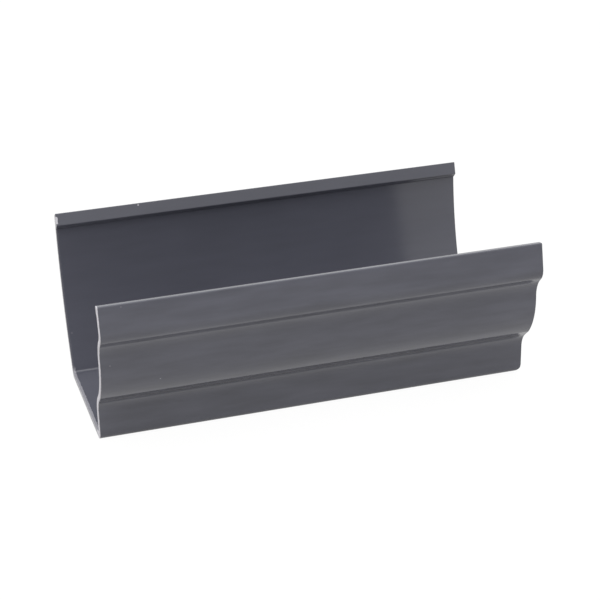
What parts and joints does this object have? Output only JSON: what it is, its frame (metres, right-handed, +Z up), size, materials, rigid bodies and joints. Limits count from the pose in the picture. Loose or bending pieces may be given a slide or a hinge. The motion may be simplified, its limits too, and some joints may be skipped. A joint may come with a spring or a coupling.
{
  "type": "ogee gutter",
  "caption": "Short length of one-piece plastic rainwater gutter with an ogee front, a flat base and a bowed back wall with a clip nose.",
  "frame": {"origin": "centre of the footprint, on the plane that the flat base rests on", "axes": "+X along the gutter, +Y towards the wall that it is fixed to, +Z up, out of the open top"},
  "size_m": [0.208, 0.1174, 0.0812],
  "materials": {
    "gutter_plastic": "smooth extruded dark grey plastic, semi-gloss, with finely sawn ends"
  },
  "bodies": {
    "root": {"gutter": "gutter_plastic"}
  },
  "joints": []
}
